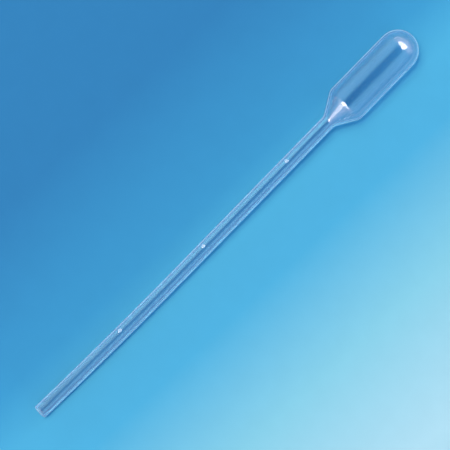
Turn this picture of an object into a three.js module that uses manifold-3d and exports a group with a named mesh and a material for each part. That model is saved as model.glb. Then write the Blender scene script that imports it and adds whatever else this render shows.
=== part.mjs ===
// A plastic dropper pipette, also called a transfer pipette, in millimetres with +Z up.
//
// It is blow moulded in one piece from natural low-density polyethylene: a thin tube, the stem,
// runs from a square-cut open end to a short cone, which opens into a round-ended squeeze bulb.
// Raised dots on the stem mark each quarter of a millilitre, and the stem keeps the slight bow
// that moulded tubes have towards their cut end.
//
// The wall is what is left between two turned shapes, the outside and the hollow. Both are made
// straight along +X, from the cut end at X=0 to the bulb, and the stem is then bent to its bow.
// At last the pipette is tilted to lie as it rests on a bench, on the lowest edge of its cut end
// and on the shoulder of its bulb. The origin is on the bench, under the middle of its box.

import * as THREE from "three";
import { mergeVertices } from "three/addons/utils/BufferGeometryUtils.js";
import Module from "manifold-3d";

// Lengths along the axis, from the cut end to the top of the bulb.
const stemLength = 116.2;
const coneLength = 6.5;
const bulbLength = 27.3;

// Diameters, and the wall of the bulb. It is thinner than the stem's, because it is blown out.
const stemDiameter = 4.3;
const boreDiameter = 3.08;
const bulbDiameter = 12;
const bulbWall = 0.4;

// Outside fillets, where the cone leaves the stem and where it meets the bulb.
const neckFillet = 2.5;
const shoulderFillet = 3;

// The bow: the last stretch of the stem curves to +Y, level with the bench.
const bowLength = 58;
const bowOffset = 1;

// A blown bulb's hollow is never quite centred. This one lies a little high, and away from the
// side that the stem bows to, so its heavier wall balances the bow and keeps it level.
const hollowRise = 0.06;
const hollowShift = 0.1;

// The volume dots: one for each quarter of a millilitre that the bore holds, as far as the neck
// leaves room. The cut takes a little off the first. They are turned about the axis from
// straight up, towards the side that the stem bows to.
const dotVolume = 250;
const cutShort = 0.85;
const neckClearance = 5;
const dotDiameter = 1.2;
const dotHeight = 0.25;
const dotTurn = THREE.MathUtils.degToRad(22);

// Facets. A multiple of four sides puts flats under, over and beside the pipette.
const sides = 32;
const facetTurn = THREE.MathUtils.degToRad(8);
const bowSteps = 10;
const dotSides = 16;
const dotFacetTurn = THREE.MathUtils.degToRad(15);

const stemRadius = stemDiameter / 2;
const boreRadius = boreDiameter / 2;
const bulbRadius = bulbDiameter / 2;
const stemWall = stemRadius - boreRadius;
const coneEnd = stemLength + coneLength;
const bulbEnd = coneEnd + bulbLength;
const coneAngle = Math.atan2(bulbRadius - stemRadius, coneLength);
const dotPitch = dotVolume / (Math.PI * boreRadius ** 2);
const dotCount = Math.floor((stemLength - neckClearance + cutShort) / dotPitch);

const wasm = await Module();
wasm.setup();

// A rounded corner as an arc of short chords, from the tangent point on the side that comes in
// to the one on the side that goes out.
function roundedCorner(before, corner, after, radius) {
  const incoming = corner.clone().sub(before).normalize();
  const outgoing = after.clone().sub(corner).normalize();
  const turn = Math.acos(incoming.dot(outgoing));
  const side = Math.sign(incoming.cross(outgoing));
  const towardsCentre = new THREE.Vector2(-incoming.y * side, incoming.x * side);
  const start = corner.clone().addScaledVector(incoming, -radius * Math.tan(turn / 2));
  const steps = Math.ceil(turn / facetTurn);
  return Array.from({ length: steps + 1 }, (_, step) => {
    const angle = (turn * step) / steps;
    return start
      .clone()
      .addScaledVector(incoming, radius * Math.sin(angle))
      .addScaledVector(towardsCentre, radius * (1 - Math.cos(angle)));
  });
}

// The line of one face of the wall, from the cut end to the top of the bulb: a tube, a cone, a
// wider tube and a round end, which is a corner rounded all the way to the axis. x is the
// distance from the axis and y the distance along it. The bowed stretch has steps to bend at.
function faceLine({ tube, neck, neckRadius, bulb, shoulder, shoulderRadius, top }) {
  const cutEnd = new THREE.Vector2(tube, 0);
  const neckCorner = new THREE.Vector2(tube, neck);
  const shoulderCorner = new THREE.Vector2(bulb, shoulder);
  const topCorner = new THREE.Vector2(bulb, top);
  const apex = new THREE.Vector2(0, top);
  const bowed = Array.from(
    { length: bowSteps + 1 },
    (_, step) => new THREE.Vector2(tube, (bowLength * step) / bowSteps),
  );
  return [
    ...bowed,
    ...roundedCorner(cutEnd, neckCorner, shoulderCorner, neckRadius),
    ...roundedCorner(neckCorner, shoulderCorner, topCorner, shoulderRadius),
    ...roundedCorner(shoulderCorner, topCorner, apex, bulb).slice(0, -1),
    apex,
  ];
}

const outsideLine = faceLine({
  tube: stemRadius,
  neck: stemLength,
  neckRadius: neckFillet,
  bulb: bulbRadius,
  shoulder: coneEnd,
  shoulderRadius: shoulderFillet,
  top: bulbEnd,
});

// The hollow's line runs parallel to the outside, a stem's wall inside it up to the neck and a
// bulb's wall inside it from the shoulder on.
const hollowLine = faceLine({
  tube: boreRadius,
  neck: stemLength + stemWall * Math.tan(coneAngle / 2),
  neckRadius: neckFillet + stemWall,
  bulb: bulbRadius - bulbWall,
  shoulder: coneEnd + bulbWall * Math.tan(coneAngle / 2),
  shoulderRadius: shoulderFillet - bulbWall,
  top: bulbEnd - bulbWall,
});

// Turns a line about its axis, which is then laid along +X. Half a facet's turn puts flats, and
// not corners, straight up and straight down.
function turned(line) {
  const start = new THREE.Vector2(0, line[0].y);
  return new THREE.LatheGeometry([start, ...line], sides)
    .rotateY(Math.PI / sides)
    .rotateZ(-Math.PI / 2);
}

// The hollow, open at the cut end: it starts a bore's width outside it. From the neck to the
// shoulder its axis drifts off the outside's.
function hollow() {
  const mouth = new THREE.Vector2(boreRadius, -boreDiameter);
  const geometry = turned([mouth, ...hollowLine]);
  const position = geometry.attributes.position;
  for (let i = 0; i < position.count; i += 1) {
    const drift = THREE.MathUtils.smoothstep(position.getX(i), stemLength, coneEnd);
    position.setY(i, position.getY(i) - hollowShift * drift);
    position.setZ(i, position.getZ(i) + hollowRise * drift);
  }
  return geometry;
}

// A volume dot in its place: a low dome on a short root that stays within the stem's wall. The
// dome's height is measured from the flats of the stem's facets.
function volumeDot(index) {
  const radius = dotDiameter / 2;
  const capRadius = (radius ** 2 + dotHeight ** 2) / (2 * dotHeight);
  const capAngle = Math.asin(radius / capRadius);
  const steps = Math.ceil(capAngle / dotFacetTurn);
  const dome = Array.from({ length: steps + 1 }, (_, step) => {
    const angle = capAngle * (1 - step / steps);
    const height = dotHeight - capRadius * (1 - Math.cos(angle));
    return new THREE.Vector2(capRadius * Math.sin(angle), height);
  });
  const rootDepth = -stemWall / 2;
  const root = [new THREE.Vector2(0, rootDepth), new THREE.Vector2(radius, rootDepth)];
  const stemFlat = stemRadius * Math.cos(Math.PI / sides);
  return new THREE.LatheGeometry([...root, ...dome], dotSides)
    .rotateX(Math.PI / 2)
    .translate(0, 0, stemFlat)
    .rotateX(-dotTurn)
    .translate(dotPitch * (index + 1) - cutShort, 0, 0);
}

// A geometry as a manifold-3d solid, and back.
function toSolid(geometry) {
  geometry.deleteAttribute("normal");
  geometry.deleteAttribute("uv");
  const merged = mergeVertices(geometry);
  return new wasm.Manifold(
    new wasm.Mesh({
      numProp: 3,
      vertProperties: new Float32Array(merged.attributes.position.array),
      triVerts: new Uint32Array(merged.index.array),
    }),
  );
}

function toGeometry(solid) {
  const mesh = solid.getMesh();
  return new THREE.BufferGeometry()
    .setAttribute("position", new THREE.BufferAttribute(mesh.vertProperties, 3))
    .setIndex(new THREE.BufferAttribute(mesh.triVerts, 1));
}

function straightPipette() {
  const dots = Array.from({ length: dotCount }, (_, index) => toSolid(volumeDot(index)));
  const wall = toSolid(turned(outsideLine)).subtract(toSolid(hollow()));
  return toGeometry(dots.reduce((body, dot) => body.add(dot), wall));
}

// Bends the bowed stretch of the axis into an arc that ends bowOffset off the line, with each
// section still square to the axis.
function bow(geometry) {
  const arcRadius = bowLength ** 2 / (2 * bowOffset);
  const position = geometry.attributes.position;
  for (let i = 0; i < position.count; i += 1) {
    const beyond = bowLength - position.getX(i);
    if (beyond > 0) {
      const angle = beyond / arcRadius;
      const reach = arcRadius - position.getY(i);
      position.setX(i, bowLength - reach * Math.sin(angle));
      position.setY(i, arcRadius - reach * Math.cos(angle));
    }
  }
  geometry.computeVertexNormals();
  return geometry;
}

// The tilt at which the cut end and the shoulder both touch the bench: the steepest line from
// the edge of the cut end to the outside beyond the neck, along the flats that face down.
function restingTilt() {
  const flat = Math.cos(Math.PI / sides);
  const beyondNeck = outsideLine.filter((point) => point.y > stemLength);
  const slopes = beyondNeck.map((point) => ((point.x - stemRadius) * flat) / point.y);
  return Math.atan(Math.max(...slopes));
}

const polyethylene = new THREE.MeshStandardMaterial({
  color: 0xe9f0f4,
  roughness: 0.12,
  metalness: 0,
  transparent: true,
  opacity: 0.35,
});

const pipette = new THREE.Mesh(bow(straightPipette()), polyethylene);
pipette.name = "pipette";
pipette.rotation.y = -restingTilt();

const box = new THREE.Box3().setFromObject(pipette, true);
const middle = box.getCenter(new THREE.Vector3());
pipette.position.set(-middle.x, -middle.y, -box.min.z);

const group = new THREE.Group();
group.add(pipette);

export default group;
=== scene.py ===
# A plastic dropper pipette, blow moulded in one piece from natural low-density polyethylene. It
# lies on a sheet of graduated blue card, on the edge of its cut end and on its bulb.
#
# The wall is turned from two lines, its outside and its hollow, about the stem's axis. The
# volume dots are raised from the outside, the stem is bent to its bow, and the pipette is then
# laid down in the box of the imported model.

import math

import bmesh
import bpy
from bpy.props import FloatProperty, FloatVectorProperty, PointerProperty
from mathutils import Matrix, Vector, noise


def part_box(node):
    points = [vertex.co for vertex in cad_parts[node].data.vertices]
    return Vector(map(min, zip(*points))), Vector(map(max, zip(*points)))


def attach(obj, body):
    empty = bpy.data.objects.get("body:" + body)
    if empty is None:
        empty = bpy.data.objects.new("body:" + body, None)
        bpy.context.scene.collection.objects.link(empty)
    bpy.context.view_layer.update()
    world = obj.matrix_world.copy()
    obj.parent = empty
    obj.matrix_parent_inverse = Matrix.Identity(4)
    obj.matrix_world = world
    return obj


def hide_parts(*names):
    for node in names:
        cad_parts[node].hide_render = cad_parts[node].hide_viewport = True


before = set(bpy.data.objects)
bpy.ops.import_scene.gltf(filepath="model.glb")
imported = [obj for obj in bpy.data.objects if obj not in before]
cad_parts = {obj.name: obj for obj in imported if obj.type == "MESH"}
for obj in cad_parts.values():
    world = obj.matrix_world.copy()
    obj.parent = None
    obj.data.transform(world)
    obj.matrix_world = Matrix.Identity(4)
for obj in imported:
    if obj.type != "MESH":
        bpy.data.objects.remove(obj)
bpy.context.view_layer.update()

bl_info = {
    "name": "Dropper Pipette",
    "version": (1, 0, 0),
    "blender": (4, 5, 0),
    "location": "3D View > Sidebar > Pipette",
    "description": "Makes a blow-moulded dropper pipette and the card that it lies on",
    "category": "Add Mesh",
}

MM = 0.001
BODY = "root"
NODE = "pipette"
WALL_SHARE, FROST = "wall_share", "frost"

# Steps of the mesh: along the plain wall and along a volume dot, then the turns from point to
# point along a fillet and the dome, round the pipette, and round its side that has the dots.
WALL_STEP = 1.2 * MM
DOT_STEP = 0.07 * MM
FILLET_TURN = math.radians(3)
DOME_TURN = math.radians(2.5)
ROUND_TURN = math.radians(3)
DOT_TURN_STEP = math.radians(2)

# How far the finer steps reach from a dot's middle: in dot diameters along, and as a turn round.
DOT_REACH = 0.8
DOT_REACH_TURN = math.radians(24)

# The cut end: steps of its rounded edges, the rings between them as shares of the wall, and the
# distances behind them of the first rings of the outside and the bore.
RIM_STEPS = 3
RIM_SHARES = (0.25, 0.5, 0.75)
RIM_RUN_IN = (0.08 * MM, 0.2 * MM, 0.5 * MM)

# A dot's edge is softened by this fillet, and ends within this many of its radii.
DOT_FILLET = 0.04 * MM
DOT_END = 1.6

# The blown wall's wander: its length along the stem, how often it changes round the stem, and
# where it is taken from in the noise. It starts behind the cut end and fades towards the top of
# the dome.
WANDER_LENGTH = 9 * MM
WANDER_ROUND = 0.9
WANDER_PLACE = 7
WANDER_START = 4 * MM
WANDER_FADE = 3 * MM

# Where the frosting of a dot begins and is full, by how far the dot lifts the skin there. Then
# the same for the cut end, by the distance from the cut, and how strong it is there.
DOT_FROST = (0.01 * MM, 0.06 * MM)
CUT_FROST = (0.1 * MM, 0.4 * MM)
CUT_FROST_STRENGTH = 0.55

MM3_PER_ML = 1000


# ---------------------------------------------------------------- colours and shader nodes


def linear(hex_colour):
    """The linear colour of an sRGB hex value, with full alpha."""
    channels = [int(hex_colour[i : i + 2], 16) / 255 for i in (1, 3, 5)]
    curve = [c / 12.92 if c <= 0.04045 else ((c + 0.055) / 1.055) ** 2.4 for c in channels]
    return (*curve, 1.0)


def add_node(tree, kind, inputs=None, **settings):
    """Adds a node to a tree. Each input is given a value, or a socket or node to link from.

    A node is linked from its first output.
    """
    node = tree.nodes.new(kind)
    for name, value in settings.items():
        setattr(node, name, value)
    for name, value in (inputs or {}).items():
        if isinstance(value, bpy.types.Node):
            value = value.outputs[0]
        if isinstance(value, bpy.types.NodeSocket):
            tree.links.new(value, node.inputs[name])
        else:
            node.inputs[name].default_value = value
    return node


def set_stops(ramp, stops):
    """Gives a Color Ramp its stops, as pairs of a place and a colour."""
    while len(ramp.color_ramp.elements) < len(stops):
        ramp.color_ramp.elements.new(0.5)
    for element, (place, colour) in zip(ramp.color_ramp.elements, stops):
        element.position, element.color = place, colour


def greys(*stops):
    """Stops of a Color Ramp in shades of grey, from pairs of a place and a strength."""
    return [(place, (strength, strength, strength, 1)) for place, strength in stops]


def new_material(name):
    """An empty node material and its tree."""
    material = bpy.data.materials.new(name)
    material.use_nodes = True
    material.node_tree.nodes.clear()
    return material, material.node_tree


# ---------------------------------------------------------------- sizes and colours


class PipetteSizes(bpy.types.PropertyGroup):
    """Sizes of the pipette, its hollow and its volume dots."""

    stem_length: FloatProperty(
        name="Stem length",
        description="From the cut end to the corner where the cone begins",
        default=116.2 * MM,
        min=40 * MM,
        unit="LENGTH",
    )
    cone_length: FloatProperty(
        name="Cone length",
        description="From the stem's corner to the bulb's corner",
        default=6.5 * MM,
        min=2 * MM,
        unit="LENGTH",
    )
    bulb_length: FloatProperty(
        name="Bulb length",
        description="From the bulb's corner to the top of its round end",
        default=27.3 * MM,
        min=8 * MM,
        unit="LENGTH",
    )
    stem_diameter: FloatProperty(
        name="Stem diameter",
        description="Outside diameter of the stem",
        default=4.3 * MM,
        min=1 * MM,
        unit="LENGTH",
    )
    bore_diameter: FloatProperty(
        name="Bore diameter",
        description="Inside diameter of the stem",
        default=3.08 * MM,
        min=0.5 * MM,
        unit="LENGTH",
    )
    bulb_diameter: FloatProperty(
        name="Bulb diameter",
        description="Outside diameter of the bulb",
        default=12 * MM,
        min=3 * MM,
        unit="LENGTH",
    )
    bulb_wall: FloatProperty(
        name="Bulb wall",
        description="Wall of the bulb, thinner than the stem's because it is blown out",
        default=0.4 * MM,
        min=0.1 * MM,
        unit="LENGTH",
    )
    neck_fillet: FloatProperty(
        name="Neck fillet",
        description="Outside radius where the cone leaves the stem",
        default=2.5 * MM,
        min=0.2 * MM,
        unit="LENGTH",
    )
    shoulder_fillet: FloatProperty(
        name="Shoulder fillet",
        description="Outside radius where the cone meets the bulb",
        default=3 * MM,
        min=0.5 * MM,
        unit="LENGTH",
    )
    rim_round: FloatProperty(
        name="Rim rounding",
        description="Radius left by the knife on both edges of the cut end",
        default=0.07 * MM,
        min=0.01 * MM,
        unit="LENGTH",
    )
    bow_length: FloatProperty(
        name="Bow length",
        description="Stretch of the stem that curves, measured from the cut end",
        default=58 * MM,
        min=5 * MM,
        unit="LENGTH",
    )
    bow_offset: FloatProperty(
        name="Bow offset",
        description="How far the cut end lies off the line of the rest",
        default=1 * MM,
        min=0.01 * MM,
        unit="LENGTH",
    )
    hollow_rise: FloatProperty(
        name="Hollow rise",
        description="How far the bulb's hollow lies above its axis",
        default=0.06 * MM,
        unit="LENGTH",
    )
    hollow_shift: FloatProperty(
        name="Hollow shift",
        description="How far the bulb's hollow lies to the side away from the bow",
        default=0.1 * MM,
        unit="LENGTH",
    )
    wall_wander: FloatProperty(
        name="Wall wander",
        description="How much the blown wall's thickness wanders from place to place",
        default=0.001 * MM,
        min=0,
        unit="LENGTH",
    )
    dot_volume: FloatProperty(
        name="Volume per dot",
        description="Volume of the bore between two dots, in millilitres",
        default=0.25,
        min=0.05,
    )
    cut_short: FloatProperty(
        name="Cut short",
        description="How much the cut takes off the first volume",
        default=0.85 * MM,
        unit="LENGTH",
    )
    dot_diameter: FloatProperty(
        name="Dot diameter",
        description="Width of a raised volume dot",
        default=1.2 * MM,
        min=0.2 * MM,
        unit="LENGTH",
    )
    dot_height: FloatProperty(
        name="Dot height",
        description="How far a volume dot stands off the stem",
        default=0.25 * MM,
        min=0.02 * MM,
        unit="LENGTH",
    )
    dot_turn: FloatProperty(
        name="Dot turn",
        description="Angle of the dots about the axis, from straight up",
        default=math.radians(22),
        unit="ROTATION",
    )
    neck_clearance: FloatProperty(
        name="Neck clearance",
        description="Least distance from the last dot to the cone",
        default=5 * MM,
        min=0,
        unit="LENGTH",
    )


class PipetteFinish(bpy.types.PropertyGroup):
    """Colours and finish of the pipette's plastic."""

    plastic: FloatVectorProperty(
        name="Plastic",
        description="Colour of the natural polyethylene",
        subtype="COLOR",
        size=4,
        min=0,
        max=1,
        default=linear("#FAFCFD"),
    )
    haze: FloatVectorProperty(
        name="Haze",
        description="Colour of the cloudier patches in the plastic",
        subtype="COLOR",
        size=4,
        min=0,
        max=1,
        default=linear("#F2F6FA"),
    )
    # The edge colour is the painted rim glow's: a pale line painted along each edge.
    edge: FloatVectorProperty(
        name="Edge",
        description="Colour that the wall takes where it is seen edge on",
        subtype="COLOR",
        size=4,
        min=0,
        max=1,
        default=linear("#D2ECFF"),
    )
    shadow: FloatVectorProperty(
        name="Shadow",
        description="Colour that each skin gives to light through it. White suits a pale card",
        subtype="COLOR",
        size=4,
        min=0,
        max=1,
        default=linear("#EEEFF7"),
    )
    # Strength of the painted rim glow along each edge, and of the wall's haze.
    milkiness_and_painted_glow: FloatProperty(
        name="Milkiness",
        description="Share of the light that a thin wall scatters where it is seen edge on",
        default=0.82,
        min=0,
        max=1,
        subtype="FACTOR",
    )
    frosting: FloatProperty(
        name="Frosting",
        description="Share of the light that the matt dots and cut end scatter",
        default=0.5,
        min=0,
        max=1,
        subtype="FACTOR",
    )
    roughness: FloatProperty(
        name="Roughness",
        description="Roughness of the moulded skin",
        default=0.045,
        min=0,
        max=1,
        subtype="FACTOR",
    )


class StageLook(bpy.types.PropertyGroup):
    """The camera, and the card's colours, from the side that the stem bows to across the card."""

    deep: FloatVectorProperty(
        name="Deep",
        description="The card at its darker edge",
        subtype="COLOR",
        size=4,
        min=0,
        max=1,
        default=linear("#387EA8"),
    )
    shade: FloatVectorProperty(
        name="Shade",
        description="The card beside the pipette, on the darker side",
        subtype="COLOR",
        size=4,
        min=0,
        max=1,
        default=linear("#4399BE"),
    )
    lit: FloatVectorProperty(
        name="Lit",
        description="The card beside the pipette, on the paler side",
        subtype="COLOR",
        size=4,
        min=0,
        max=1,
        default=linear("#54AECB"),
    )
    bright: FloatVectorProperty(
        name="Bright",
        description="The card half way from the pipette to its paler edge",
        subtype="COLOR",
        size=4,
        min=0,
        max=1,
        default=linear("#8DCAD1"),
    )
    pale: FloatVectorProperty(
        name="Pale",
        description="The card at its paler edge",
        subtype="COLOR",
        size=4,
        min=0,
        max=1,
        default=linear("#B7D9DA"),
    )
    camera_height: FloatProperty(
        name="Camera height",
        description="Height of the camera above the card",
        default=0.528,
        min=0.1,
        unit="LENGTH",
    )
    lens: FloatProperty(
        name="Lens",
        description="Focal length of the camera",
        default=148,
        min=20,
        unit="CAMERA",
    )


# ---------------------------------------------------------------- the wall's two lines


def rounded_corner(before, corner, after, radius, step_turn):
    """Points of an arc that rounds a corner, from tangent point to tangent point."""
    incoming, outgoing = (corner - before).normalized(), (after - corner).normalized()
    turn = incoming.angle(outgoing)
    side = math.copysign(1, incoming.cross(outgoing))
    towards_centre = Vector((-incoming.y * side, incoming.x * side))
    start = corner - incoming * radius * math.tan(turn / 2)
    steps = math.ceil(turn / step_turn)
    return [
        start
        + incoming * radius * math.sin(turn * i / steps)
        + towards_centre * radius * (1 - math.cos(turn * i / steps))
        for i in range(steps + 1)
    ]


def face_line(tube, neck, neck_radius, bulb, shoulder, shoulder_radius, top):
    """One face of the wall as (radius, distance along): tube, cone, wider tube, round end."""
    cut_end, neck_corner = Vector((tube, 0)), Vector((tube, neck))
    shoulder_corner, top_corner = Vector((bulb, shoulder)), Vector((bulb, top))
    apex = Vector((0, top))
    return [
        cut_end,
        *rounded_corner(cut_end, neck_corner, shoulder_corner, neck_radius, FILLET_TURN),
        *rounded_corner(neck_corner, shoulder_corner, top_corner, shoulder_radius, FILLET_TURN),
        *rounded_corner(shoulder_corner, top_corner, apex, bulb, DOME_TURN)[:-1],
        apex,
    ]


def both_lines(sizes):
    """The outside's line, and the hollow's, which runs parallel to it inside the wall."""
    stem, bore, bulb = sizes.stem_diameter / 2, sizes.bore_diameter / 2, sizes.bulb_diameter / 2
    stem_wall, bulb_wall = stem - bore, sizes.bulb_wall
    cone_end = sizes.stem_length + sizes.cone_length
    top = cone_end + sizes.bulb_length
    half_cone = math.atan2(bulb - stem, sizes.cone_length) / 2
    outside = face_line(
        stem, sizes.stem_length, sizes.neck_fillet, bulb, cone_end, sizes.shoulder_fillet, top
    )
    hollow = face_line(
        bore,
        sizes.stem_length + stem_wall * math.tan(half_cone),
        sizes.neck_fillet + stem_wall,
        bulb - bulb_wall,
        cone_end + bulb_wall * math.tan(half_cone),
        sizes.shoulder_fillet - bulb_wall,
        top - bulb_wall,
    )
    return outside, hollow


def dot_places(sizes):
    """Distances along the stem at which the bore has held one more dot's volume."""
    bore_area = math.pi * (sizes.bore_diameter / 2) ** 2
    pitch = sizes.dot_volume * MM3_PER_ML * MM**3 / bore_area
    room = sizes.stem_length - sizes.neck_clearance + sizes.cut_short
    return [pitch * (i + 1) - sizes.cut_short for i in range(int(room / pitch))]


def divided(line, fine_places=(), fine_reach=0):
    """A line with its long straights divided, and divided finely near the places given."""
    points = [line[0]]
    for start, end in zip(line, line[1:]):
        steps = math.ceil((end - start).length / WALL_STEP)
        cuts = {i / steps for i in range(1, steps)}
        rise = end.y - start.y
        if rise > WALL_STEP:
            fine_steps = round(fine_reach / DOT_STEP)
            fine = {
                (place + i * DOT_STEP - start.y) / rise
                for place in fine_places
                for i in range(-fine_steps, fine_steps + 1)
            }
            fine_spans = [
                [(place + reach - start.y) / rise for reach in (-fine_reach, fine_reach)]
                for place in fine_places
            ]
            margin = DOT_STEP / rise
            cuts = {
                cut
                for cut in cuts
                if not any(near - margin < cut < far + margin for near, far in fine_spans)
            }
            cuts |= {cut for cut in fine if 0 < cut < 1}
        points += [start.lerp(end, cut) for cut in sorted(cuts)] + [end]
    return points


def cut_rim(stem, bore, rounding):
    """The cut end from the bore's edge to the outside's, both edges rounded by the knife."""
    quarter = [math.pi / 2 * i / RIM_STEPS for i in range(RIM_STEPS + 1)]
    inner = [
        Vector((bore + rounding * (1 - math.cos(a)), rounding * (1 - math.sin(a)))) for a in quarter
    ]
    outer = [
        Vector((stem - rounding * (1 - math.sin(a)), rounding * (1 - math.cos(a)))) for a in quarter
    ]
    middle = [Vector((bore + (stem - bore) * share, 0)) for share in RIM_SHARES]
    return inner + middle + outer


def round_angles(sizes):
    """Angles of the mesh about the axis, closer together round the side that has the dots."""
    fine_turn = 2 * DOT_REACH_TURN
    rest_turn = math.tau - fine_turn
    fine_steps, rest_steps = round(fine_turn / DOT_TURN_STEP), round(rest_turn / ROUND_TURN)
    first = sizes.dot_turn - DOT_REACH_TURN
    fine = [first + fine_turn * i / fine_steps for i in range(fine_steps)]
    rest = [first + fine_turn + rest_turn * i / rest_steps for i in range(rest_steps)]
    return fine + rest


# ---------------------------------------------------------------- shaping the mesh


def smoothstep(value, low, high):
    """Rises smoothly from 0 at the low value to 1 at the high one."""
    share = min(max((value - low) / (high - low), 0), 1)
    return share * share * (3 - 2 * share)


def dot_rise(sizes, places, along, angle):
    """How far the nearest volume dot lifts the outside: a low cap with a small fillet."""
    radius, height = sizes.dot_diameter / 2, sizes.dot_height
    round_offset = (sizes.dot_turn - angle + math.pi) % math.tau - math.pi
    across = round_offset * sizes.stem_diameter / 2
    nearest = min(places, key=lambda place: abs(place - along))
    distance = math.hypot(along - nearest, across)
    if distance > DOT_END * radius:
        return 0
    cap_radius = (radius**2 + height**2) / (2 * height)
    cap = math.sqrt(max(cap_radius**2 - distance**2, 0)) - (cap_radius - height)
    return (cap + math.hypot(cap, DOT_FILLET)) / 2


def bowed(point, sizes):
    """Bends a point of the straight pipette with the stem's bow."""
    beyond = sizes.bow_length - point.x
    if beyond <= 0:
        return point
    arc_radius = sizes.bow_length**2 / (2 * sizes.bow_offset)
    angle, reach = beyond / arc_radius, arc_radius - point.y
    along, aside = sizes.bow_length - reach * math.sin(angle), arc_radius - reach * math.cos(angle)
    return Vector((along, aside, point.z))


def resting_tilt(outside, sizes):
    """The tilt at which the cut end and the bulb's shoulder both touch the card."""
    stem = sizes.stem_diameter / 2
    return math.atan(max((p.x - stem) / p.y for p in outside if p.y > sizes.stem_length))


def ring_points(line, sizes, places, angles, is_outside):
    """The rings of one face of the wall, as lists of points of the straight pipette."""
    cone_end = sizes.stem_length + sizes.cone_length
    rings = []
    for radius, along in line:
        drift = smoothstep(along, sizes.stem_length, cone_end)
        ring = []
        for angle in angles:
            sine, cosine = math.sin(angle), math.cos(angle)
            if is_outside:
                lift = dot_rise(sizes, places, along, angle) if along < sizes.stem_length else 0
                aside, above = 0, 0
            else:
                spot = Vector(
                    (
                        along / WANDER_LENGTH,
                        sine * WANDER_ROUND + WANDER_PLACE,
                        cosine * WANDER_ROUND,
                    )
                )
                lift = sizes.wall_wander * noise.noise(spot) * smoothstep(along, 0, WANDER_START)
                lift *= min(1, radius / WANDER_FADE)
                aside, above = -sizes.hollow_shift * drift, sizes.hollow_rise * drift
            reach = radius + lift
            ring.append(Vector((along, reach * sine + aside, reach * cosine + above)))
        rings.append(ring)
    return rings


def wall_share(sizes, along):
    """The share of the section that is wall and not hollow, less for the slope of the cone.

    Seen square on to the axis, a skin's cosine squared is this at the hollow's edge.
    """
    stem, bulb = sizes.stem_diameter / 2, sizes.bulb_diameter / 2
    opened = min(max((along - sizes.stem_length) / sizes.cone_length, 0), 1)
    slope = math.cos(math.atan2(bulb - stem, sizes.cone_length)) if 0 < opened < 1 else 1
    stem_wall = stem - sizes.bore_diameter / 2
    wall = stem_wall + (sizes.bulb_wall - stem_wall) * opened
    radius = stem + (bulb - stem) * opened
    return slope**2 * (1 - (1 - wall / (radius * slope)) ** 2)


def frosted(sizes, places, point):
    """How matt the skin is: the dots keep their pits' drill marks, and the cut end the knife's."""
    reach = math.hypot(point.y, point.z)
    lift = dot_rise(sizes, places, point.x, math.atan2(point.y, point.z))
    on_dot = lift if reach > sizes.stem_diameter / 2 and point.x < sizes.stem_length else 0
    at_cut = 1 - smoothstep(point.x, *CUT_FROST)
    return max(smoothstep(on_dot, *DOT_FROST), CUT_FROST_STRENGTH * at_cut)


def pipette_mesh(sizes):
    """The pipette's closed wall: outside, cut rim and hollow, each a run of rings."""
    outside, hollow = both_lines(sizes)
    places, angles = dot_places(sizes), round_angles(sizes)
    tilt = resting_tilt(outside, sizes)
    rounding = sizes.rim_round
    edge, lip = (
        [Vector((line[0].x, rounding + behind)) for behind in RIM_RUN_IN]
        for line in (outside, hollow)
    )
    dot_reach = DOT_REACH * sizes.dot_diameter
    outside_line = edge + divided([edge[-1], *outside[1:]], places, dot_reach)[1:]
    hollow_line = lip + divided([lip[-1], *hollow[1:]])[1:]
    rim = cut_rim(sizes.stem_diameter / 2, sizes.bore_diameter / 2, rounding)
    rings = ring_points(hollow_line[-2::-1], sizes, places, angles, False)
    rings += ring_points(rim, sizes, places, angles, True)
    rings += ring_points(outside_line[:-1], sizes, places, angles, True)
    ends = [
        ring_points(line[-1:], sizes, places, [0.0], is_outside)[0][0]
        for line, is_outside in ((hollow_line, False), (outside_line, True))
    ]

    turn = Matrix.Rotation(-tilt, 3, "Y")
    built = bmesh.new()
    share = built.verts.layers.float.new(WALL_SHARE)
    frost = built.verts.layers.float.new(FROST)
    made = [[built.verts.new(turn @ bowed(p, sizes)) for p in ring] for ring in rings]
    inner_end, outer_end = (built.verts.new(turn @ end) for end in ends)
    for ring, verts in zip([*rings, ends], [*made, (inner_end, outer_end)]):
        for point, vert in zip(ring, verts):
            vert[share] = wall_share(sizes, point.x)
            vert[frost] = frosted(sizes, places, point)
    count = len(angles)
    for lower, upper in zip(made, made[1:]):
        for i in range(count):
            j = (i + 1) % count
            built.faces.new((lower[i], upper[i], upper[j], lower[j]))
    for i in range(count):
        j = (i + 1) % count
        built.faces.new((made[0][i], made[0][j], inner_end))
        built.faces.new((made[-1][j], made[-1][i], outer_end))
    for face in built.faces:
        face.smooth = True
    bmesh.ops.recalc_face_normals(built, faces=built.faces)
    mesh = bpy.data.meshes.new("pipette_wall")
    built.to_mesh(mesh)
    built.free()
    return mesh


def lay_down(mesh):
    """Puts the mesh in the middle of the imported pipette's box, with its lowest point on the card."""
    low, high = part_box(NODE)
    own_low, own_high = (
        Vector([pick(vert.co[axis] for vert in mesh.vertices) for axis in range(3)])
        for pick in (min, max)
    )
    own_middle, middle = (own_low + own_high) / 2, (low + high) / 2
    shift = Vector((middle.x - own_middle.x, middle.y - own_middle.y, low.z - own_low.z))
    mesh.transform(Matrix.Translation(shift))


# ---------------------------------------------------------------- materials

POLYETHYLENE_IOR = 1.51

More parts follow.
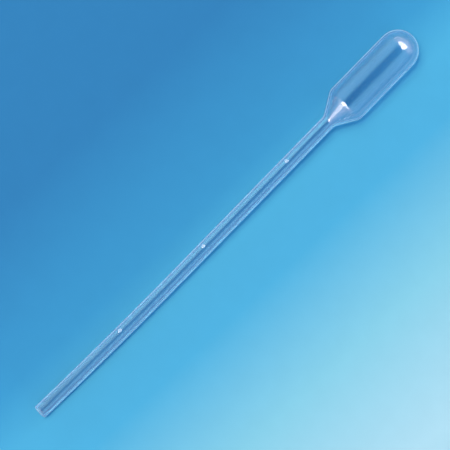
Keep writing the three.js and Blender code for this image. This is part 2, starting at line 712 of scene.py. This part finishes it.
# How strongly the painted rim glow shows, a pale line painted along the rim by the angle the
# wall is seen at. The span is in shares of the wall: -1 is the pipette's outline, 0 the
# hollow's edge, and the glow ends at 1.3. Its stops run from 0 to 1.
PAINTED_RIM_SPAN = (-1.0, 1.3)
PAINTED_RIM_GLOW = greys(
    (0.0, 0.08),
    (0.05, 0.2),
    (0.12, 0.95),
    (0.22, 1.0),
    (0.31, 0.7),
    (0.4, 0.28),
    (0.5, 0.12),
    (0.67, 0.09),
    (0.8, 0.05),
    (0.9, 0.02),
    (1.0, 0.0),
)

# How milky the wall is, by the square of the cosine that it is seen at.
WALL_HAZE = greys((0.1, 0.05), (0.36, 0.05), (0.5, 0.045), (0.66, 0.02), (1.0, 0.0))

# How much of the painted rim glow and the haze, and of the light behind it, a wall loses for
# its share of the section.
HAZE_AND_PAINTED_GLOW_LOSS = 1.15
LIGHT_LOSS = 0.12

# Lamplight is turned aside where it meets the wall edge on, between these places of the span.
EDGE_SHADE = (-0.5, 0.25)

# The haze's clouds: their length, and how many times that is their width.
CLOUD_LENGTH = 12.5 * MM
CLOUD_DRAW = 2.75

# The card's fade reaches this far to each side, and isn't laid quite square to the pipette.
CARD_FADE = 84 * MM
CARD_TURN = math.radians(2.5)

# The card's fibres clump into faint clouds, this wide and this much darker or paler.
FIBRE_CLUMP = 6.25 * MM
FIBRE_SHADE = 0.03


def moulded_polyethylene(finish):
    """Natural low-density polyethylene, blow moulded: a clear but faintly milky wax-like plastic.

    The eye sees through it to the card, with bright reflections from the mould's smooth skin. A
    soft pale line along each edge is a painted rim glow, set by the angle the wall is seen at,
    with a little real milkiness under it.
    """
    material, tree = new_material("blow_moulded_natural_polyethylene")

    # A tube's skin is seen at a cosine whose square falls from 1 in its middle to 0 at its edge.
    # It equals the share of wall where the hollow's edge is seen, and is less beyond it.
    facing = add_node(tree, "ShaderNodeLayerWeight", {"Blend": 0.5}).outputs["Facing"]
    share = add_node(tree, "ShaderNodeAttribute", attribute_name=WALL_SHARE).outputs["Fac"]
    cosine = add_node(tree, "ShaderNodeMath", {0: 1.0, 1: facing}, operation="SUBTRACT")
    square = add_node(tree, "ShaderNodeMath", {0: cosine, 1: cosine}, operation="MULTIPLY")
    past_hollow = add_node(tree, "ShaderNodeMath", {0: square, 1: share}, operation="SUBTRACT")
    in_walls = add_node(tree, "ShaderNodeMath", {0: past_hollow, 1: share}, operation="DIVIDE")
    # Painted rim glow: a pale line painted beyond the hollow's edge, by the angle the wall is seen at.
    from_edge = add_node(
        tree,
        "ShaderNodeMapRange",
        {"Value": in_walls, "From Min": PAINTED_RIM_SPAN[0], "From Max": PAINTED_RIM_SPAN[1]},
    )
    rim = add_node(tree, "ShaderNodeValToRGB", {"Fac": from_edge})
    set_stops(rim, PAINTED_RIM_GLOW)
    # The wall is a little milky too, and most where the eye looks along it.
    haze = add_node(tree, "ShaderNodeValToRGB", {"Fac": square})
    set_stops(haze, WALL_HAZE)
    # The painted rim glow and the haze together.
    haze_and_painted_rim = add_node(tree, "ShaderNodeMath", {0: rim, 1: haze}, operation="MAXIMUM")
    # A thin wall shows more of the haze and the painted rim glow than a thick one.
    thin = add_node(
        tree, "ShaderNodeMath", {0: share, 1: -HAZE_AND_PAINTED_GLOW_LOSS, 2: 1.0}, operation="MULTIPLY_ADD"
    )
    haze_and_painted_glow = add_node(tree, "ShaderNodeMath", {0: haze_and_painted_rim, 1: thin}, operation="MULTIPLY")
    milky_and_painted_share = add_node(
        tree, "ShaderNodeMath", {0: haze_and_painted_glow, 1: finish.milkiness_and_painted_glow}, operation="MULTIPLY"
    )
    frost = add_node(tree, "ShaderNodeAttribute", attribute_name=FROST).outputs["Fac"]
    matt = add_node(tree, "ShaderNodeMath", {0: frost, 1: finish.frosting}, operation="MULTIPLY")
    # The frosting, the haze and the painted rim glow take their share from the clear plastic.
    matt_haze_and_painted_glow = add_node(tree, "ShaderNodeMath", {0: milky_and_painted_share, 1: matt}, operation="MAXIMUM")
    clear = add_node(tree, "ShaderNodeMath", {0: 1.0, 1: matt_haze_and_painted_glow}, operation="SUBTRACT")

    # Haze comes in clouds, drawn out along the stem by the blowing.
    place = add_node(tree, "ShaderNodeTexCoord").outputs["Object"]
    along, across = 1 / CLOUD_LENGTH, CLOUD_DRAW / CLOUD_LENGTH
    drawn = add_node(
        tree, "ShaderNodeMapping", {"Vector": place, "Scale": (along, across, across)}
    )
    clouds = add_node(tree, "ShaderNodeTexNoise", {"Vector": drawn, "Scale": 1.0, "Detail": 3.0})
    colour = add_node(
        tree,
        "ShaderNodeMixRGB",
        {"Fac": clouds, "Color1": tuple(finish.plastic), "Color2": tuple(finish.haze)},
    )
    # Where the painted rim glow and the frosting show, the plastic takes the edge colour.
    tinted = add_node(
        tree, "ShaderNodeMixRGB", {"Fac": matt_haze_and_painted_glow, "Color1": colour, "Color2": tuple(finish.edge)}
    )
    plastic = add_node(
        tree,
        "ShaderNodeBsdfPrincipled",
        {
            "Base Color": tinted,
            "Roughness": finish.roughness,
            "IOR": POLYETHYLENE_IOR,
            "Transmission Weight": clear,
        },
    )

    # Lamps shine through the wall to the card, a little bluer for it, and where they meet the
    # wall edge on their light is turned aside. The light of the room's walls comes from all
    # round, so it has no such edges.
    let_through = add_node(
        tree, "ShaderNodeMath", {0: share, 1: -LIGHT_LOSS, 2: 1.0}, operation="MULTIPLY_ADD"
    )
    edge_on = add_node(
        tree,
        "ShaderNodeMapRange",
        {
            "Value": in_walls,
            "From Min": EDGE_SHADE[0],
            "From Max": EDGE_SHADE[1],
            "To Max": let_through,
        },
    )
    shadow, veil = (
        add_node(
            tree,
            "ShaderNodeVectorMath",
            {0: tuple(finish.shadow)[:3], "Scale": strength},
            operation="SCALE",
        )
        for strength in (edge_on, let_through)
    )
    passed = add_node(tree, "ShaderNodeBsdfTransparent", {"Color": shadow})
    veiled = add_node(tree, "ShaderNodeBsdfTransparent", {"Color": veil})
    path = add_node(tree, "ShaderNodeLightPath")
    walls_light = add_node(
        tree, "ShaderNodeMixShader", {0: path.outputs["Is Diffuse Ray"], 1: plastic, 2: veiled}
    )
    lamps_light = add_node(
        tree, "ShaderNodeMixShader", {0: path.outputs["Is Shadow Ray"], 1: walls_light, 2: passed}
    )
    add_node(tree, "ShaderNodeOutputMaterial", {"Surface": lamps_light})
    return material


def graduated_card(look):
    """Matt card, whose blue fades to pale from one side of the pipette to the other."""
    material, tree = new_material("matt_graduated_card")
    place = add_node(tree, "ShaderNodeTexCoord").outputs["Object"]
    turned = add_node(tree, "ShaderNodeMapping", {"Vector": place, "Rotation": (0, 0, CARD_TURN)})
    split = add_node(tree, "ShaderNodeSeparateXYZ", {"Vector": turned})
    across = add_node(
        tree,
        "ShaderNodeMapRange",
        {"Value": split.outputs["Y"], "From Min": CARD_FADE, "From Max": -CARD_FADE},
    )
    fade = add_node(tree, "ShaderNodeValToRGB", {"Fac": across})
    set_stops(
        fade,
        [
            (0.0, tuple(look.deep)),
            (0.22, tuple(look.deep)),
            (0.45, tuple(look.shade)),
            (0.53, tuple(look.lit)),
            (0.62, tuple(look.lit)),
            (0.80, tuple(look.bright)),
            (1.0, tuple(look.pale)),
        ],
    )
    fibres = add_node(
        tree, "ShaderNodeTexNoise", {"Vector": place, "Scale": 1 / FIBRE_CLUMP, "Detail": 6.0}
    )
    shade = add_node(
        tree,
        "ShaderNodeMapRange",
        {"Value": fibres, "To Min": 1 - FIBRE_SHADE, "To Max": 1 + FIBRE_SHADE},
    )
    colour = add_node(tree, "ShaderNodeVectorMath", {0: fade, 1: shade}, operation="MULTIPLY")
    card = add_node(tree, "ShaderNodeBsdfDiffuse", {"Color": colour, "Roughness": 0.0})
    add_node(tree, "ShaderNodeOutputMaterial", {"Surface": card})
    return material


# ---------------------------------------------------------------- the studio

CARD_REACH = 3.0

# The room that shows in the plastic, by the direction looked in: X is along the pipette towards
# its bulb, Y is the side that the stem bows to, and Z is up. The room looks brighter in the
# plastic than the light it gives.
ROOM_STRENGTH = 2.8
ROOM_LIGHT = "#2F537D"

# The side walls are dark at -Y and pale at +Y, and change softly this far to each side of 0.
DARK_WALL, PALE_WALL = "#30487A", "#A2E4F0"
SIDE_CHANGE = 0.6

# The walls beyond the pipette's ends are near white. The stops run along X, from beyond the cut
# end to beyond the bulb, where the white is wider and stronger. It begins well above the card, so
# that it doesn't whiten the stem seen along its length.
END_WALL = "#FBF0F4"
END_WALLS = greys((0.1, 0.36), (0.32, 0), (0.62, 0), (0.84, 1))
END_RISE = (0.12, 0.5)

# Below this Z all the walls fade to the colour of the card.
BY_THE_CARD = "#2A6A8C"
FADE_HEIGHT = 0.4

# The ceiling is dark. It hangs a little to one side, and its edge is soft.
CEILING = "#264266"
CEILING_MIDDLE = (0, -0.11, 0.994)
CEILING_EDGE = (0.80, 0.965)

# Softboxes light the card, and white boards shine in the plastic. Each has its name, the azimuth
# and elevation that it stands at, how tall and how wide it looks, all in degrees, then its
# radiance and its colour.
SOFTBOX_DISTANCE = 1.8
SOFTBOXES = (
    ("key_softbox", 90, 81.5, 7, 14, 48.0, "#FFF3DA"),
    ("side_softbox", 90, 72, 13, 26, 9.5, "#FFF3DA"),
    ("low_softbox", -90, 14, 20, 60, 3.5, "#D2F0FF"),
    ("low_softbox_opposite", 90, 14, 20, 60, 3.0, "#D2F0FF"),
    ("low_softbox_at_end", 0, 14, 20, 60, 3.0, "#D2F0FF"),
)
BOARD_DISTANCE = 0.9
BOARDS = (
    ("tip_board", 167, 49, 26, 27, 12.0, "#FFE8E0"),
    ("tip_board_edge", 168, 38, 44, 28, 4.0, "#FFECE8"),
    ("bulb_board", 5, 51.5, 23, 54, 8.0, "#FFF4EC"),
)

# The camera hangs beside the middle of the card, looks straight down and is turned by this.
CAMERA_ASIDE = (-0.15 * MM, 0.53 * MM)
CAMERA_TURN = math.radians(-45.68)
SENSOR_WIDTH = 36


# ---------------------------------------------------------------- operators


class PIPETTE_OT_make_pipette(bpy.types.Operator):
    """Makes the pipette's wall, with its volume dots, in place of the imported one"""

    bl_idname = "pipette.make_pipette"
    bl_label = "Make Pipette"

    def execute(self, context):
        mesh = pipette_mesh(context.scene.pipette_sizes)
        lay_down(mesh)
        wall = bpy.data.objects.new("pipette_wall", mesh)
        context.scene.collection.objects.link(wall)
        mesh.materials.append(moulded_polyethylene(context.scene.pipette_finish))
        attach(wall, BODY)
        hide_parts(NODE)
        return {"FINISHED"}


class PIPETTE_OT_make_stage(bpy.types.Operator):
    """Makes the card, the studio's lamps and walls, and the camera overhead"""

    bl_idname = "pipette.make_stage"
    bl_label = "Make Stage"

    def execute(self, context):
        look = context.scene.pipette_stage
        self.make_card(context, look)
        self.make_room(context)
        for lamps, is_board in ((SOFTBOXES, False), (BOARDS, True)):
            for lamp in lamps:
                self.make_lamp(context, is_board, *lamp)
        self.make_camera(context, look)
        context.scene.view_settings.view_transform = "Standard"
        return {"FINISHED"}

    def make_card(self, context, look):
        """A wide sheet of card with its middle under the pipette."""
        mesh = bpy.data.meshes.new("card")
        signs = ((-1, -1), (1, -1), (1, 1), (-1, 1))
        corners = [(along * CARD_REACH, across * CARD_REACH, 0) for along, across in signs]
        mesh.from_pydata(corners, [], [(0, 1, 2, 3)])
        card = bpy.data.objects.new("card", mesh)
        context.scene.collection.objects.link(card)
        mesh.materials.append(graduated_card(look))

    def make_room(self, context):
        """The room that shows in the plastic, and the light that it gives."""
        world = bpy.data.worlds.new("studio")
        context.scene.world = world
        world.use_nodes = True
        tree = world.node_tree
        tree.nodes.clear()
        towards = add_node(tree, "ShaderNodeTexCoord").outputs["Generated"]
        split = add_node(tree, "ShaderNodeSeparateXYZ", {"Vector": towards})
        side = add_node(
            tree,
            "ShaderNodeMapRange",
            {"Value": split.outputs["Y"], "From Min": -SIDE_CHANGE, "From Max": SIDE_CHANGE},
        )
        side_walls = add_node(
            tree,
            "ShaderNodeMixRGB",
            {"Fac": side, "Color1": linear(DARK_WALL), "Color2": linear(PALE_WALL)},
        )
        lengthwise = add_node(
            tree, "ShaderNodeMapRange", {"Value": split.outputs["X"], "From Min": -1.0}
        )
        beyond_ends = add_node(tree, "ShaderNodeValToRGB", {"Fac": lengthwise})
        set_stops(beyond_ends, END_WALLS)
        raised = add_node(
            tree,
            "ShaderNodeMapRange",
            {"Value": split.outputs["Z"], "From Min": END_RISE[0], "From Max": END_RISE[1]},
        )
        end_light = add_node(
            tree, "ShaderNodeMath", {0: beyond_ends, 1: raised}, operation="MULTIPLY"
        )
        all_walls = add_node(
            tree,
            "ShaderNodeMixRGB",
            {"Fac": end_light, "Color1": side_walls, "Color2": linear(END_WALL)},
        )
        above_floor = add_node(
            tree, "ShaderNodeMapRange", {"Value": split.outputs["Z"], "From Max": FADE_HEIGHT}
        )
        faded = add_node(
            tree,
            "ShaderNodeMixRGB",
            {"Fac": above_floor, "Color1": linear(BY_THE_CARD), "Color2": all_walls},
        )
        height = add_node(
            tree, "ShaderNodeVectorMath", {0: towards, 1: CEILING_MIDDLE}, operation="DOT_PRODUCT"
        )
        ceiling = add_node(
            tree,
            "ShaderNodeMapRange",
            {
                "Value": height.outputs["Value"],
                "From Min": CEILING_EDGE[0],
                "From Max": CEILING_EDGE[1],
            },
            interpolation_type="SMOOTHSTEP",
        )
        room = add_node(
            tree, "ShaderNodeMixRGB", {"Fac": ceiling, "Color1": faded, "Color2": linear(CEILING)}
        )
        path = add_node(tree, "ShaderNodeLightPath")
        in_plastic = add_node(
            tree,
            "ShaderNodeMath",
            {0: path.outputs["Is Glossy Ray"], 1: path.outputs["Is Transmission Ray"]},
            operation="MAXIMUM",
        )
        seen = add_node(
            tree,
            "ShaderNodeMixRGB",
            {"Fac": in_plastic, "Color1": linear(ROOM_LIGHT), "Color2": room},
        )
        background = add_node(
            tree, "ShaderNodeBackground", {"Color": seen, "Strength": ROOM_STRENGTH}
        )
        add_node(tree, "ShaderNodeOutputWorld", {"Surface": background})

    def make_lamp(self, context, is_board, name, azimuth, elevation, tall, wide, radiance, hue):
        """A softbox that the plastic doesn't show, or a board that shows only in the plastic."""
        distance = BOARD_DISTANCE if is_board else SOFTBOX_DISTANCE
        turn, rise = math.radians(azimuth), math.radians(elevation)
        towards = Vector(
            (math.cos(rise) * math.cos(turn), math.cos(rise) * math.sin(turn), math.sin(rise))
        )
        light = bpy.data.lights.new(name, "AREA")
        light.shape = "ELLIPSE" if is_board else "RECTANGLE"
        light.color = linear(hue)[:3]
        light.size = 2 * distance * math.tan(math.radians(wide / 2))
        light.size_y = 2 * distance * math.tan(math.radians(tall / 2))
        area = light.size * light.size_y * (math.pi / 4 if is_board else 1)
        light.energy = radiance * math.pi * area
        lamp = bpy.data.objects.new(name, light)
        lamp.location = towards * distance
        lamp.rotation_euler = towards.to_track_quat("Z", "Y").to_euler()
        lamp.visible_camera = False
        lamp.visible_diffuse = not is_board
        lamp.visible_glossy = lamp.visible_transmission = is_board
        context.scene.collection.objects.link(lamp)

    def make_camera(self, context, look):
        """A long lens straight overhead."""
        lens = bpy.data.cameras.new("overhead_camera")
        lens.lens = look.lens
        lens.sensor_width = SENSOR_WIDTH
        camera = bpy.data.objects.new("overhead_camera", lens)
        camera.location = (*CAMERA_ASIDE, look.camera_height)
        camera.rotation_euler = (0, 0, CAMERA_TURN)
        context.scene.collection.objects.link(camera)
        context.scene.camera = camera


class PIPETTE_PT_sidebar(bpy.types.Panel):
    """Lists the pipette's sizes and finishes, and makes it"""

    bl_label = "Dropper Pipette"
    bl_idname = "PIPETTE_PT_sidebar"
    bl_space_type = "VIEW_3D"
    bl_region_type = "UI"
    bl_category = "Pipette"

    def draw(self, context):
        scene = context.scene
        for title, group, operator in (
            ("Sizes", scene.pipette_sizes, None),
            ("Finish", scene.pipette_finish, PIPETTE_OT_make_pipette.bl_idname),
            ("Stage", scene.pipette_stage, PIPETTE_OT_make_stage.bl_idname),
        ):
            box = self.layout.box()
            box.label(text=title)
            for name in group.__annotations__:
                box.prop(group, name)
            if operator:
                box.operator(operator)


CLASSES = (
    PipetteSizes,
    PipetteFinish,
    StageLook,
    PIPETTE_OT_make_pipette,
    PIPETTE_OT_make_stage,
    PIPETTE_PT_sidebar,
)


def register():
    for cls in CLASSES:
        bpy.utils.register_class(cls)
    bpy.types.Scene.pipette_sizes = PointerProperty(type=PipetteSizes)
    bpy.types.Scene.pipette_finish = PointerProperty(type=PipetteFinish)
    bpy.types.Scene.pipette_stage = PointerProperty(type=StageLook)


def unregister():
    del bpy.types.Scene.pipette_stage
    del bpy.types.Scene.pipette_finish
    del bpy.types.Scene.pipette_sizes
    for cls in reversed(CLASSES):
        bpy.utils.unregister_class(cls)


def main():
    register()
    bpy.ops.pipette.make_pipette()
    bpy.ops.pipette.make_stage()


if __name__ == "__main__":
    main()
